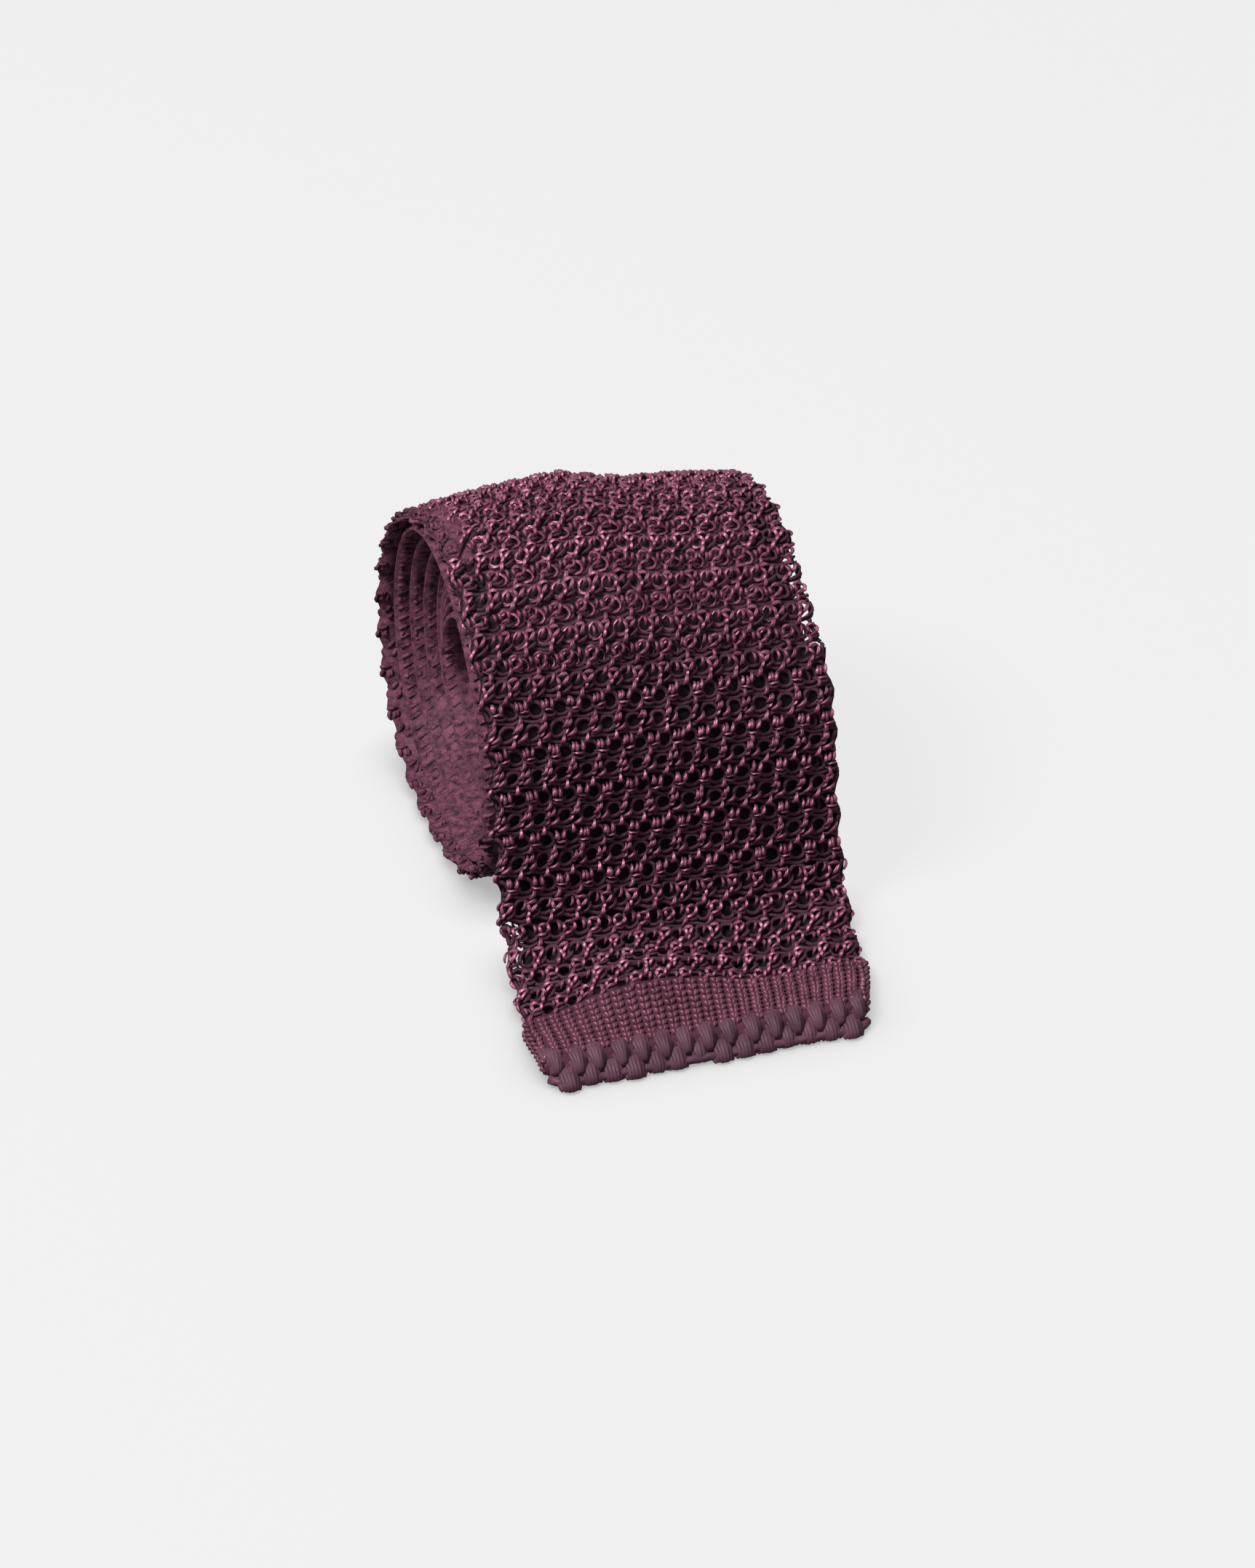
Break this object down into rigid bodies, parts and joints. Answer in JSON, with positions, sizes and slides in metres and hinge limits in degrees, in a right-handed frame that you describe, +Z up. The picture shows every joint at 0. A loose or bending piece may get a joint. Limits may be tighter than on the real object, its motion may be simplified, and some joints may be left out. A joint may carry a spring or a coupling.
{
  "type": "rolled knit tie",
  "caption": "Knitted silk tie rolled up from its narrow end, with an open core; the blade's plain hem band and scalloped end lie flat in front of the roll.",
  "frame": {"origin": "on the surface that the tie lies on, under the middle of the whole tie", "axes": "+X along the axis of the roll, -Y towards the blade's end in front of the roll, +Z up"},
  "size_m": [0.0588, 0.1034, 0.0602],
  "materials": {
    "openwork_knit": "openwork silk knit, soft sheen",
    "plain_knit": "plain silk knit, soft sheen",
    "scallop_knit": "bumpy silk knit edge, soft sheen"
  },
  "bodies": {
    "root": {"knit_body": "openwork_knit", "hem_band": "plain_knit", "scalloped_end": "scallop_knit"}
  },
  "joints": []
}
